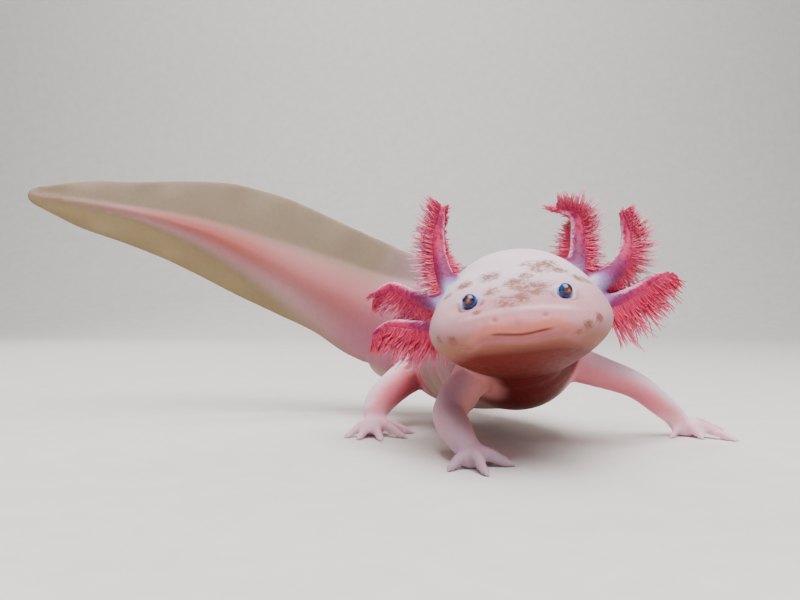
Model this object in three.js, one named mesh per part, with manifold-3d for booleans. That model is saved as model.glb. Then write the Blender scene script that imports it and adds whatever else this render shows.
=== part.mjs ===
// A life-size axolotl standing on the floor: head towards -Y, body bent, tail raised and swept to -X.
// Millimetres, +Z up. The origin is the middle of the underside of the model's bounding box.

import * as THREE from "three";
import { mergeVertices } from "three/addons/utils/BufferGeometryUtils.js";
import Module from "manifold-3d";

const wasm = await Module();
wasm.setup();

// ---- Driving dimensions -------------------------------------------------------------------------

const GAP = 0.3; // clear space between neighbouring pieces
const SLIVER = 1; // cubic millimetres below which a cut-off scrap is no piece

const HEAD_CENTRE = new THREE.Vector3(30.3, -46, 37.2);
const HEAD_YAW = THREE.MathUtils.degToRad(-8); // turned towards the tail's side
const HEAD_PITCH = THREE.MathUtils.degToRad(1); // snout up
const HEAD_ROLL = THREE.MathUtils.degToRad(6.5); // left side up
const SNOUT_REACH = 22; // widest section to tip of the snout
const NAPE_REACH = 27; // widest section to the back of the head form
const HEAD_HALF_WIDTH = 23;
const NAPE_HALF_WIDTH = 17.5;

const MOUTH_LEVEL = -3.3; // mouth line at the front, in the head's own axes
const MOUTH_SMILE = 0.006; // how fast the line climbs towards its corners
const MOUTH_CORNER = 4; // how far forward of the widest section the corners sit

const EYE_RADIUS = 1.9;
const EYE_FORWARD = 10;
const EYE_ASIDE = 11.4;
const EYE_SINK = 0.1; // how far the eye's centre lies under the skin

const FLOOR_DEPTH = 20; // thickness of the block that trims the soles flat

const SKIN = { color: 0xe8c4c0, roughness: 0.45, metalness: 0 };
const FEET = { color: 0xecd2cf, roughness: 0.5, metalness: 0 };
const FIN = { color: 0xc9b3a8, roughness: 0.4, metalness: 0 };
const GILL = { color: 0xc8506a, roughness: 0.5, metalness: 0 };
const EYE = { color: 0x1e2a44, roughness: 0.08, metalness: 0 };

// ---- Solids from three.js shapes ----------------------------------------------------------------

// A three.js geometry as a manifold solid, turned the right way out.
function solidOf(geometry) {
  const bare = geometry.clone();
  bare.deleteAttribute("normal");
  bare.deleteAttribute("uv");
  const merged = mergeVertices(bare, 1e-4);
  const triVerts = new Uint32Array(merged.index.array);
  const vertProperties = merged.attributes.position.array;
  const made = new wasm.Manifold(new wasm.Mesh({ numProp: 3, vertProperties, triVerts }));
  if (made.volume() > 0) return made;
  for (let i = 0; i < triVerts.length; i += 3) {
    [triVerts[i + 1], triVerts[i + 2]] = [triVerts[i + 2], triVerts[i + 1]];
  }
  return new wasm.Manifold(new wasm.Mesh({ numProp: 3, vertProperties, triVerts }));
}

// A ball whose rows are carried to place(s, angle), with s from 0 at one pole to 1 at the other.
function wrapped(around, along, place) {
  const ball = new THREE.SphereGeometry(1, around, along);
  const position = ball.attributes.position;
  for (let i = 0; i < position.count; i++) {
    const row = Math.floor(i / (around + 1));
    const column = i % (around + 1) % around;
    const point = place(row / along, (column / around) * 2 * Math.PI);
    position.setXYZ(i, point.x, point.y, point.z);
  }
  return solidOf(ball);
}

// Catmull-Rom value at s, from 0 to 1, through rows of numbers.
function between(rows, s) {
  const last = rows.length - 1;
  const at = Math.min(Math.max(s, 0), 1) * last;
  const i = Math.min(Math.floor(at), last - 1);
  const t = at - i;
  const [a, b, c, d] = [-1, 0, 1, 2].map((k) => rows[Math.min(Math.max(i + k, 0), last)]);
  return b.map((_, k) => {
    const curve = 2 * b[k] + (c[k] - a[k]) * t;
    const bend = (2 * a[k] - 5 * b[k] + 4 * c[k] - d[k]) * t * t;
    const twist = (3 * b[k] - a[k] - 3 * c[k] + d[k]) * t * t * t;
    return 0.5 * (curve + bend + twist);
  });
}

// Rounds a form off over the first and last shares of its length.
function domed(s, first, last) {
  const front = Math.min(s / first, 1);
  const back = Math.min((1 - s) / last, 1);
  return Math.sqrt(Math.max(0, (1 - (1 - front) ** 2) * (1 - (1 - back) ** 2)));
}

const STEP = 0.004; // share of a line's length over which its direction is taken

function directionOf(point, s) {
  const before = point(Math.max(s - STEP, 0));
  const after = point(Math.min(s + STEP, 1));
  return after.sub(before).normalize();
}

// The two axes across a line at s: to its side, and up as far as the line allows.
function across(point, s, up) {
  const along = directionOf(point, s);
  const side = new THREE.Vector3().crossVectors(along, up).normalize();
  return { along, side, rise: new THREE.Vector3().crossVectors(side, along) };
}

// Keeps what lies beyond a plane through a point, in the direction of its normal.
function beyond(solid, point, normal, clearance = GAP / 2) {
  return solid.trimByPlane(normal.toArray(), point.dot(normal) + clearance);
}

const largest = (solid) => solid.decompose().sort((a, b) => b.volume() - a.volume())[0];

const split = (solid, point, normal) => [
  beyond(solid, point, normal.clone().negate()),
  beyond(solid, point, normal),
];

// ---- Head ---------------------------------------------------------------------------------------

const headTurn = new THREE.Matrix4()
  .makeRotationZ(HEAD_YAW)
  .multiply(new THREE.Matrix4().makeRotationX(-HEAD_PITCH))
  .multiply(new THREE.Matrix4().makeRotationY(-HEAD_ROLL));

// A point given forward, to the animal's left and up from the head's middle.
function headPoint(forward, left, up) {
  return new THREE.Vector3(left, -forward, up).applyMatrix4(headTurn).add(HEAD_CENTRE);
}

// Middle of the top, of the sides and of the underside, from the nape to the snout's tip.
const HEAD_PROFILE = [
  [17.6, -1, -17],
  [18.7, -1, -17.4],
  [17.4, -1, -16.8],
  [14.2, -1.5, -15.6],
  [10.4, -2, -14],
  [7, -2.5, -12.2],
  [4.4, -3, -10],
  [2.6, -3.2, -7.8],
];
const HEAD_ROUNDNESS = 2.15; // 2 is an ellipse, more is squarer

function headHalfWidth(forward) {
  if (forward < 0) {
    const back = forward / NAPE_REACH;
    return HEAD_HALF_WIDTH - (HEAD_HALF_WIDTH - NAPE_HALF_WIDTH) * back * back;
  }
  return HEAD_HALF_WIDTH * (1 - (forward / SNOUT_REACH) ** 2.5) ** 0.47;
}

const roundedPart = (value) => Math.sign(value) * Math.abs(value) ** (2 / HEAD_ROUNDNESS);

// The head's surface: forward from the widest section, and an angle round it from the left side.
function headSurface(forward, angle, grow = 0) {
  const share = (forward + NAPE_REACH) / (NAPE_REACH + SNOUT_REACH);
  const [top, middle, bottom] = between(HEAD_PROFILE, share);
  const reach = Math.sin(angle) > 0 ? top - middle : middle - bottom;
  const left = (headHalfWidth(forward) + grow) * roundedPart(Math.cos(angle));
  const blunt = Math.sqrt(Math.max(0, 1 - Math.max(0, forward / SNOUT_REACH) ** 7));
  const up = middle + (reach + grow) * blunt * roundedPart(Math.sin(angle));
  return [forward, left, up];
}

function headForm(grow) {
  const length = NAPE_REACH + SNOUT_REACH;
  return wrapped(22, 13, (s, angle) => {
    const even = 0.5 - 0.5 * Math.cos(Math.PI * s);
    const eased = 0.35 * s + 0.65 * even; // rows gather at the blunt ends
    const [forward, left, up] = headSurface(-NAPE_REACH + length * eased, angle, grow);
    const cap = domed(s, 0.12, 1e-6);
    return headPoint(forward, left * cap, up * cap);
  });
}

// ---- Neck, trunk and tail -----------------------------------------------------------------------

// Each station: x, y, z of the middle; half width; flesh above and below the middle; whole reach
// above and below with the fins; half thickness of the fin; how sharply flesh thins into the fin.
const SPINE = [
  [32.5, -34, 31, 13, 11, 11, 11, 11, 0, 0.5],
  [33.6, -23, 29.5, 17.5, 15.5, 16, 15.5, 16, 0, 0.5],
  [34.6, -12, 28.2, 19.6, 18.2, 19.4, 18.2, 19.4, 0, 0.5],
  [32.6, 0, 26.2, 21.8, 21.4, 18.8, 22.2, 18.8, 0.8, 0.46],
  [25.6, 13.5, 26, 22.4, 22.8, 20.2, 25.4, 20.2, 1.2, 0.44],
  [18.4, 25, 27.6, 20.8, 21, 20.4, 26.2, 20.4, 1.4, 0.46],
  [8.6, 32.8, 30.2, 17.2, 18, 18.6, 25.8, 18.6, 1.5, 0.54],
  [0, 37, 33.2, 14, 14.4, 17, 25, 18, 1.4, 0.64],
  [-11.6, 38, 36.4, 11, 13, 14, 26, 16.6, 1.3, 0.74],
  [-24.6, 38.2, 42.6, 8.6, 11.4, 10.8, 25.6, 14.4, 1.2, 0.84],
  [-38, 38, 49.6, 6.8, 9.6, 9.2, 24.9, 14.8, 1.1, 0.92],
  [-52, 36.4, 56.4, 5.2, 7.6, 7.4, 24.2, 14.8, 1, 1],
  [-66, 33.2, 63, 3.9, 5.4, 5.2, 21, 14, 0.95, 1],
  [-79.4, 29.2, 68, 2.8, 3.4, 3.4, 15.6, 12.6, 0.9, 1],
  [-92.6, 24.6, 71.4, 1.9, 2, 2, 10.6, 10.8, 0.85, 1],
  [-106, 18.4, 73.6, 1.3, 1.5, 1.5, 7.6, 8.2, 0.8, 1],
  [-121.2, 9.8, 75.4, 0.8, 0.9, 0.9, 2.9, 2.6, 0.6, 1],
];
const NECK_FRONT = -15; // forward of the head's middle, where the head ends under the gills
const NECK_BACK = 0.085; // shares of the spine's length where the lengths of the body part
const WAIST_CUT = 0.31;
const VENT_CUT = 0.505;
const TAIL_CUT = 0.67;
const TIP_CUT = 0.84;
const FIN_FRONT = 0.24; // where the fin on the back starts
const FIN_ROOT = 0.93; // share of the flesh's reach where the fins are parted from it
const CLEAR = 4; // how far a cutting form runs past what it cuts
const VENT_CENTRE = [-2.6, 33.4, 21.4];
const VENT_LENGTH = 18;
const VENT_WIDTH = 15;
const VENT_DEPTH = 16.4;
const UP = new THREE.Vector3(0, 0, 1);

function spinePoint(s) {
  return new THREE.Vector3(...between(SPINE, s).slice(0, 3));
}

// Half thickness of the body at a height from its middle.
function bodyThickness(height, halfWidth, flesh, reach, fin, sharpness) {
  const meat = halfWidth * Math.max(0, 1 - (height / flesh) ** 2) ** sharpness;
  const blade = fin * Math.sqrt(Math.max(0, 1 - (height / reach) ** 4));
  return Math.hypot(meat, blade);
}

function bodyForm(grow) {
  return wrapped(16, 32, (s, angle) => {
    const station = between(SPINE, s);
    const [halfWidth, fleshUp, fleshDown, reachUp, reachDown, fin, sharpness] = station.slice(3);
    const { side, rise } = across(spinePoint, s, UP);
    const cap = domed(s, 0.03, 0.014);
    const upper = Math.sin(angle) > 0;
    const reach = (upper ? reachUp : reachDown) + grow;
    const flesh = Math.min((upper ? fleshUp : fleshDown) + grow, reach);
    const height = reach * Math.sin(angle);
    const half = bodyThickness(height, halfWidth + grow, flesh, reach, fin, sharpness);
    return spinePoint(s)
      .addScaledVector(rise, height * cap)
      .addScaledVector(side, Math.sign(Math.cos(angle)) * half * cap);
  });
}

// The body without its fins: only the top and the underside of this form cut the body.
function fleshBand(grow) {
  const around = 12;
  return wrapped(around, 24, (s, angle) => {
    const [halfWidth, fleshUp, fleshDown, reachUp, reachDown] = between(SPINE, s).slice(3);
    const { side, rise } = across(spinePoint, s, UP);
    const finUp = THREE.MathUtils.smoothstep(s, FIN_FRONT - 0.02, FIN_FRONT + 0.02);
    const finDown = s < VENT_CUT ? 0 : 1;
    const top = THREE.MathUtils.lerp(reachUp + CLEAR, fleshUp * FIN_ROOT, finUp);
    const underside = THREE.MathUtils.lerp(reachDown + CLEAR, fleshDown * FIN_ROOT, finDown);
    const squared = Math.min(1, 1.6 * Math.abs(Math.sin(angle)));
    const height = Math.sin(angle) > 0 ? (top + grow) * squared : -(underside + grow) * squared;
    const cap = s > 0 && s < 1 ? 1 : 0;
    return spinePoint(s)
      .addScaledVector(rise, height * cap)
      .addScaledVector(side, (halfWidth + CLEAR) * Math.cos(angle) * cap);
  });
}

// The swelling round the vent, under the root of the tail.
function ventForm(grow) {
  const swelling = new THREE.SphereGeometry(1, 12, 8);
  swelling.scale(VENT_LENGTH / 2 + grow, VENT_WIDTH / 2 + grow, VENT_DEPTH / 2 + grow);
  swelling.translate(...VENT_CENTRE);
  return solidOf(swelling);
}

// ---- Limbs --------------------------------------------------------------------------------------

// A fleshy tube through points [x, y, z, radius].
function limbForm(points, around, along, flatness = 1, last = 0.1) {
  const centre = (s) => new THREE.Vector3(...between(points, s).slice(0, 3));
  return wrapped(around, along, (s, angle) => {
    const radius = between(points, s)[3] * domed(s, 0.1, last);
    const { side, rise } = across(centre, s, UP);
    return centre(s)
      .addScaledVector(side, radius * Math.cos(angle))
      .addScaledVector(rise, radius * flatness * Math.sin(angle));
  });
}

const WRIST = 0.82; // share of a limb where its hand or foot starts
const FINGER_ROOT_RADIUS = 1.75;
const FINGER_TIP_RADIUS = 0.8;
const KNUCKLE_HEIGHT = 3;
const FINGER_TIP_HEIGHT = 0.6;

// One finger or toe from the palm's middle [x, y] to its tip [x, y].
function digitForm(palm, tip) {
  const at = (share, height, radius) => [
    palm[0] + (tip[0] - palm[0]) * share,
    palm[1] + (tip[1] - palm[1]) * share,
    height,
    radius,
  ];
  return limbForm(
    [
      at(-0.1, KNUCKLE_HEIGHT + 1.5, FINGER_ROOT_RADIUS),
      at(0.3, KNUCKLE_HEIGHT + 0.6, FINGER_ROOT_RADIUS * 0.95),
      at(0.68, KNUCKLE_HEIGHT - 1.1, FINGER_ROOT_RADIUS * 0.72),
      at(1, FINGER_TIP_HEIGHT, FINGER_TIP_RADIUS),
    ],
    5,
    3,
    0.9,
    0.2,
  );
}

function palmForm([x, y], turn, digits) {
  const palm = new THREE.SphereGeometry(1, 8, 4);
  palm.scale(4.6, digits > 4 ? 4.6 : 4.1, 2.9);
  palm.rotateZ(turn);
  palm.translate(x, y, 2.3);
  return solidOf(palm);
}

// Joints as [x, y, z, radius]; the palm and each tip as [x, y]; turn is the palm's heading.
const LIMBS = {
  foreleg_right: {
    joints: [[26, -16, 25, 6.4], [19.5, -25, 18.5, 5.6], [13.6, -34.4, 11.6, 4.7],
      [14.2, -42.4, 8, 4.4], [17, -51.4, 4.4, 3.3]],
    bend: 0.5,
    palm: [17.6, -52.6],
    turn: -1.35,
    tips: [[10.9, -58.4], [20.6, -64], [29, -52.4], [28.4, -44.6]],
    end: "hand_right",
  },
  foreleg_left: {
    joints: [[44, -13, 25, 6.4], [56.5, -16.4, 20.9, 4.8], [68.6, -14, 16.5, 4],
      [77, -10.2, 11, 3.7], [85.4, -6.2, 4.3, 3.4]],
    bend: 0.52,
    palm: [86.8, -6.4],
    turn: -0.3,
    tips: [[80.2, -12], [89.8, -14.4], [99, -17.8], [102.4, 2.4]],
    end: "hand_left",
  },
  hindleg_right: {
    joints: [[14, 27, 25, 7.2], [8.4, 20.4, 19.4, 6.3], [0.2, 11.8, 14.6, 5.4],
      [-6, 3.5, 9.6, 4.7], [-8.8, -4, 4.6, 3.4]],
    bend: 0.5,
    palm: [-8.4, -5],
    turn: -1.5,
    tips: [[-17, -11.6], [-12.6, -15.4], [-5.4, -17.2], [2.6, -12.4], [5, -3]],
    end: "foot_right",
  },
  hindleg_left: {
    joints: [[20, 34, 25, 7.2], [27, 45, 21, 6.2], [33, 54.6, 16.4, 5.2],
      [36.4, 59.8, 10.4, 4.2], [39.2, 62.9, 4.4, 3.3]],
    bend: 0.5,
    palm: [39.6, 63.2],
    turn: 0.35,
    tips: [[43, 52.6], [51, 56.6], [54, 63.4], [49.4, 71.4], [39.6, 73.6]],
    end: "foot_left",
  },
};

const soleBlock = new THREE.BoxGeometry(400, 400, FLOOR_DEPTH);
soleBlock.translate(0, 0, -FLOOR_DEPTH / 2);
const belowFloor = solidOf(soleBlock);

// Upper leg, lower leg, and hand or foot, clear of the trunk and of each other.
function limbPieces(name, { joints, bend, palm, turn, tips, end }, trunk) {
  const tube = (grow) => limbForm(joints.map(([x, y, z, r]) => [x, y, z, r + grow]), 8, 9, 1, 0.06);
  const centre = (s) => new THREE.Vector3(...between(joints, s).slice(0, 3));
  const cut = (s) => [centre(s), directionOf(centre, s)];
  const [wrist, handwards] = cut(WRIST);
  const [upper, rest] = split(tube(0).subtract(trunk).subtract(belowFloor), ...cut(bend));
  const [lower, stub] = split(rest, wrist, handwards);
  const sleeve = beyond(tube(GAP), wrist, handwards.clone().negate(), -GAP / 2);
  const hand = tips
    .reduce((made, tip) => made.add(digitForm(palm, tip)), palmForm(palm, turn, tips.length))
    .add(stub)
    .subtract(sleeve)
    .subtract(belowFloor);
  return {
    [`${name}_upper`]: [upper, SKIN],
    [`${name}_lower`]: [lower, SKIN],
    [end]: [largest(hand), FEET],
  };
}

// ---- Gills --------------------------------------------------------------------------------------

// Each stalk's points [x, y, z, radius], the way its fringe leans, how far the fringe's two rows
// stand apart, the fringe's length, and its length at the stalk's tip as a share of that.
const GILLS = {
  gill_left_1: {
    stalk: [[45.5, -36, 45.4, 3], [48.2, -31, 50.4, 2.7], [49.6, -27, 58, 2.1],
      [49, -24.8, 65.2, 1.8], [43.4, -26, 66.8, 1]],
    lean: [0.1, 0.95, 0.1],
    spread: 1.5,
    length: 8.5,
    tip: 0.7,
  },
  gill_left_2: {
    stalk: [[50.6, -35, 45.2, 2.9], [57.2, -29.4, 47.6, 2.8], [62.8, -24, 52.6, 2.3],
      [65.4, -20, 59, 1.9], [63.6, -20, 66.4, 0.9]],
    lean: [0.8, 0.6, 0.05],
    spread: 0.6,
    length: 10.5,
    tip: 0.35,
  },
  gill_left_3: {
    stalk: [[51.8, -38, 39.4, 2.8], [58, -31, 40.4, 2.6], [65.6, -24.6, 43.2, 2.1],
      [72.4, -19.4, 46.8, 1.7], [79.4, -15, 49.4, 0.9]],
    lean: [0.12, 0.1, -0.95],
    spread: 0.5,
    length: 12.5,
    tip: 0.4,
  },
  gill_right_1: {
    stalk: [[14.4, -36, 42.4, 3], [12.8, -30, 46.4, 2.6], [11.2, -25, 53, 2.1],
      [10.8, -22, 60, 1.9], [12.3, -21, 68.4, 1]],
    lean: [-0.3, 0.95, 0.1],
    spread: 1.2,
    length: 7.5,
    tip: 0.45,
  },
  gill_right_2: {
    stalk: [[13, -37, 39, 3], [8.4, -30, 40.4, 2.5], [3.4, -25, 42.4, 2.1],
      [-2.4, -21.4, 44.6, 1.9], [-8, -20.4, 42, 1.1]],
    lean: [-0.3, 0.75, -0.55],
    spread: 0.6,
    length: 8,
    tip: 0.45,
  },
  gill_right_3: {
    stalk: [[13, -39, 34, 2.8], [8.4, -32, 33.4, 2.4], [3.4, -28, 33.6, 2.1],
      [-2.4, -25, 33.8, 1.9], [-7.8, -24, 31.2, 1.1]],
    lean: [0, 0.2, -0.95],
    spread: 0.5,
    length: 11.5,
    tip: 0.4,
  },
};
const FRINGE_ROWS = [-1, 1];
const FRINGE_TEETH = 6;
const FRINGE_START = 0.2; // share of the stalk's length where the fringe starts
const FRINGE_THICKNESS = 0.7;
const TIP_LEAN = 0.5; // how far the last teeth lean along the stalk
const NOTCH = 0.68; // depth from the stalk to between two teeth, as a share of a tooth's length

// A thin blade along a stalk, from its middle out to a toothed edge.
function fringeForm(centre, leaning, sideStep, length, tip) {
  const steps = 2 * FRINGE_TEETH;
  const blade = new THREE.BoxGeometry(1, 1, 1, steps, 1, 1);
  const position = blade.attributes.position;
  for (let i = 0; i < position.count; i++) {
    const share = position.getX(i) + 0.5;
    const outwards = position.getY(i) + 0.5;
    const s = FRINGE_START + (1 - FRINGE_START) * 0.97 * share;
    const along = directionOf(centre, s);
    const sideways = new THREE.Vector3().crossVectors(along, leaning).normalize();
    const out = leaning
      .clone()
      .addScaledVector(sideways, sideStep)
      .addScaledVector(along, TIP_LEAN * share * share)
      .normalize();
    const thin = new THREE.Vector3().crossVectors(along, out).normalize();
    const notched = Math.round(share * steps) % 2 ? 1 : NOTCH;
    const point = centre(s)
      .addScaledVector(out, outwards * notched * length * (1 - (1 - tip) * share * share))
      .addScaledVector(thin, position.getZ(i) * FRINGE_THICKNESS);
    position.setXYZ(i, point.x, point.y, point.z);
  }
  return solidOf(blade);
}

// A stalk with two blades, each tooth as long as the threads that grow there.
function gillForm({ stalk, lean, spread, length, tip }) {
  const centre = (s) => new THREE.Vector3(...between(stalk, s).slice(0, 3));
  const leaning = new THREE.Vector3(...lean).normalize();
  return FRINGE_ROWS.reduce(
    (gill, row) => gill.add(fringeForm(centre, leaning, row * spread, length, tip)),
    limbForm(stalk, 6, 6, 1, 0.12),
  );
}

// ---- The whole animal, parted into its pieces ---------------------------------------------------

const body = bodyForm(0).add(ventForm(0));
const bodyGrown = bodyForm(GAP).add(ventForm(GAP));
const headGrown = headForm(GAP);
const trunkGrown = bodyGrown.add(headGrown);
const pieces = {};

const nape = headPoint(NECK_FRONT, 0, 0);
const headBack = headPoint(-1, 0, 0).sub(headPoint(0, 0, 0));
const [headWhole, rest] = split(headForm(0).add(body), nape, headBack);

// The eyes sit in sockets a gap wider than themselves.
function eyePlace(side) {
  const share = Math.acos(EYE_ASIDE / headHalfWidth(EYE_FORWARD));
  const surface = headSurface(EYE_FORWARD, share * 1.02);
  return headPoint(surface[0] - EYE_SINK * 0.45, side * (surface[1] - EYE_SINK * 0.4),
    surface[2] - EYE_SINK * 0.8);
}

function eyeball(side, grow) {
  const ball = new THREE.SphereGeometry(EYE_RADIUS + grow, 10, 7);
  const at = eyePlace(side);
  ball.translate(at.x, at.y, at.z);
  return solidOf(ball);
}

// Everything under the mouth line and forward of its corners.
function jawRegion(grow) {
  const outline = new THREE.Shape();
  const halfSpan = 30;
  const steps = 12;
  outline.moveTo(-halfSpan, -halfSpan);
  outline.lineTo(halfSpan, -halfSpan);
  for (let i = 0; i <= steps; i++) {
    const left = halfSpan - (2 * halfSpan * i) / steps;
    const climb = Math.min(MOUTH_SMILE * left * left, 3.6);
    outline.lineTo(left, MOUTH_LEVEL + climb + grow);
  }
  const deep = SNOUT_REACH + 10 - MOUTH_CORNER + grow;
  const block = new THREE.ExtrudeGeometry(outline, { depth: deep, bevelEnabled: false });
  // The outline's x, y and depth become left, up and forward from the corners.
  const toHead = new THREE.Matrix4().makeBasis(
    new THREE.Vector3(1, 0, 0), new THREE.Vector3(0, 0, 1), new THREE.Vector3(0, -1, 0));
  block.applyMatrix4(toHead);
  block.translate(0, -(MOUTH_CORNER - grow), 0);
  block.applyMatrix4(headTurn);
  block.translate(HEAD_CENTRE.x, HEAD_CENTRE.y, HEAD_CENTRE.z);
  return solidOf(block);
}

for (const [name, side] of [["eye_right", -1], ["eye_left", 1]]) {
  pieces[name] = [eyeball(side, 0), EYE];
}
pieces.lower_jaw = [headWhole.intersect(jawRegion(0)), SKIN];
pieces.head = [
  headWhole.subtract(jawRegion(GAP)).subtract(eyeball(-1, GAP)).subtract(eyeball(1, GAP)),
  SKIN,
];

// The neck, the trunk and the tail are lengths of the body, and the tail's tip keeps its fins.
const cutAt = (s) => [spinePoint(s), directionOf(spinePoint, s)];
const [neck, behindNeck] = split(rest, ...cutAt(NECK_BACK));
const [trunk, tail] = split(behindNeck, ...cutAt(VENT_CUT));
const [tailBase, tailRest] = split(tail, ...cutAt(TAIL_CUT));
const [tailMiddle, tailTip] = split(tailRest, ...cutAt(TIP_CUT));
const band = fleshBand(0);
const bandGrown = fleshBand(GAP);

// The parts of a length that lie outside the band, the highest first.
function finsOf(length) {
  const middleOf = ({ min, max }) => min[2] + max[2];
  return length
    .subtract(bandGrown)
    .decompose()
    .filter((fin) => fin.volume() > SLIVER)
    .sort((a, b) => middleOf(b.boundingBox()) - middleOf(a.boundingBox()));
}

const [trunkFront, trunkRear] = split(trunk.intersect(band), ...cutAt(WAIST_CUT));
pieces.neck = [neck, SKIN];
pieces.trunk_front = [trunkFront, SKIN];
pieces.trunk_rear = [trunkRear, SKIN];
pieces.dorsal_fin = [finsOf(trunk)[0], FIN];
for (const [name, length] of [["tail_base", tailBase], ["tail_middle", tailMiddle]]) {
  const [upper, lower] = finsOf(length);
  pieces[name] = [length.intersect(band), SKIN];
  pieces[`${name}_fin_upper`] = [upper, FIN];
  pieces[`${name}_fin_lower`] = [lower, FIN];
}
pieces.tail_tip = [tailTip, FIN];

for (const [name, limb] of Object.entries(LIMBS)) {
  Object.assign(pieces, limbPieces(name, limb, trunkGrown));
}

for (const [name, gill] of Object.entries(GILLS)) {
  pieces[name] = [largest(gillForm(gill).subtract(trunkGrown)), GILL];
}

// ---- The scene graph ----------------------------------------------------------------------------

function geometryOf(solid) {
  const mesh = solid.getMesh();
  const geometry = new THREE.BufferGeometry();
  geometry.setAttribute("position", new THREE.BufferAttribute(mesh.vertProperties, 3));
  geometry.setIndex(new THREE.BufferAttribute(mesh.triVerts, 1));
  geometry.computeVertexNormals();
  return geometry;
}

const axolotl = new THREE.Group();
for (const [name, [solid, look]] of Object.entries(pieces)) {
  const mesh = new THREE.Mesh(geometryOf(solid), new THREE.MeshStandardMaterial(look));
  mesh.name = name;
  axolotl.add(mesh);
}

// The group is set over the origin, with its lowest faces on the floor.
const box = new THREE.Box3().setFromObject(axolotl);
const middle = box.getCenter(new THREE.Vector3());
axolotl.position.set(-middle.x, -middle.y, -box.min.z);

export default axolotl;
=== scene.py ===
import math

import bmesh
import bpy
import numpy as np
from mathutils import Matrix, Vector


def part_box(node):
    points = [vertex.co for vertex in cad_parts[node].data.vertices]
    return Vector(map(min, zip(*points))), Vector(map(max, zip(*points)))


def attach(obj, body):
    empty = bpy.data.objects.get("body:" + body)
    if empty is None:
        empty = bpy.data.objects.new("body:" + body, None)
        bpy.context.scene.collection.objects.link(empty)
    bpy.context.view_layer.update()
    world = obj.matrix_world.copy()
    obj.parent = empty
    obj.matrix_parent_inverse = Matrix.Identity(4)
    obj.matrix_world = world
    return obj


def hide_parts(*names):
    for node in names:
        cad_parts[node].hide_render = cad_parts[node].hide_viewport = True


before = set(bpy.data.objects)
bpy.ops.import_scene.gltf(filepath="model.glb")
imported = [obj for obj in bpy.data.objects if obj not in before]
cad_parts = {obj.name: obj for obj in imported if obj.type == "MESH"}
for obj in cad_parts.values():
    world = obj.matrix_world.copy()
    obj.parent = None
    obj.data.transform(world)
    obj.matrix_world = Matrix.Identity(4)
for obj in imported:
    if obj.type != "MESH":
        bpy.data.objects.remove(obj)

# An axolotl standing on a pale floor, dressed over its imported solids. The animal's tables are in
# millimetres in its own frame; row_frame() carries them to metres in the shared frame.

MM = 0.001
rng = np.random.default_rng(7)
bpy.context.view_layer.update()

# ---- Curves and closed forms ----


def between(rows, share):
    """Catmull-Rom values at shares from 0 to 1 through rows of numbers."""
    rows = np.asarray(rows, float)
    last = len(rows) - 1
    at = np.clip(share, 0, 1) * last
    first = np.minimum(np.asarray(at).astype(int), last - 1)
    t = np.asarray(at - first)[..., None]
    a, b, c, d = (rows[np.clip(first + k, 0, last)] for k in (-1, 0, 1, 2))
    bend = (2 * a - 5 * b + 4 * c - d) * t**2 + (3 * b - a - 3 * c + d) * t**3
    return 0.5 * (2 * b + (c - a) * t + bend)


def smooth(value, low, high):
    """0 below low, 1 above high, and a soft step between them."""
    t = np.clip((value - low) / (high - low), 0, 1)
    return t * t * (3 - 2 * t)


def fade(value, low, high):
    """1 below low, 0 above high, and a soft step between them."""
    return 1 - smooth(value, low, high)


def hump(value, middle, width):
    """1 at the middle, falling softly to nothing about two widths away."""
    return np.exp(-(((value - middle) / width) ** 2))


def unit(vectors):
    return vectors / np.maximum(np.linalg.norm(vectors, axis=-1, keepdims=True), 1e-12)


def distance(points, place):
    return np.linalg.norm(points - np.asarray(place), axis=1)


def domed(share, first, last):
    """Rounds a form off over the first and last shares of its length."""
    front = np.minimum(share / first, 1)
    back = np.minimum((1 - share) / last, 1)
    return np.sqrt(np.maximum(0, (1 - (1 - front) ** 2) * (1 - (1 - back) ** 2)))


def line_axes(rows, share):
    """Middle, direction, side and rise of a line of rows at the shares."""
    step = 0.004
    middle = between(rows, share)[..., :3]
    ahead = between(rows, np.minimum(share + step, 1))[..., :3]
    behind = between(rows, np.maximum(share - step, 0))[..., :3]
    along = unit(ahead - behind)
    side = unit(np.cross(along, [0.0, 0.0, 1.0]))
    return middle, along, side, np.cross(side, along)


def mesh_from(form, name):
    """The mesh that a bmesh has grown into."""
    mesh = bpy.data.meshes.new(name)
    form.to_mesh(mesh)
    form.free()
    return mesh


def wrapped(around, along, place):
    """A ball of so many faces, its points carried to place(share, angle) from pole to pole."""
    form = bmesh.new()
    bmesh.ops.create_uvsphere(form, u_segments=around, v_segments=along, radius=1)
    spots = np.array([vertex.co for vertex in form.verts])
    share = np.arccos(np.clip(spots[:, 2], -1, 1)) / math.pi
    angle = np.arctan2(spots[:, 1], spots[:, 0])
    for vertex, point in zip(form.verts, place(share, angle)):
        vertex.co = point
    bmesh.ops.recalc_face_normals(form, faces=form.faces)
    return mesh_from(form, "form")


# ---- Head ----

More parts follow.
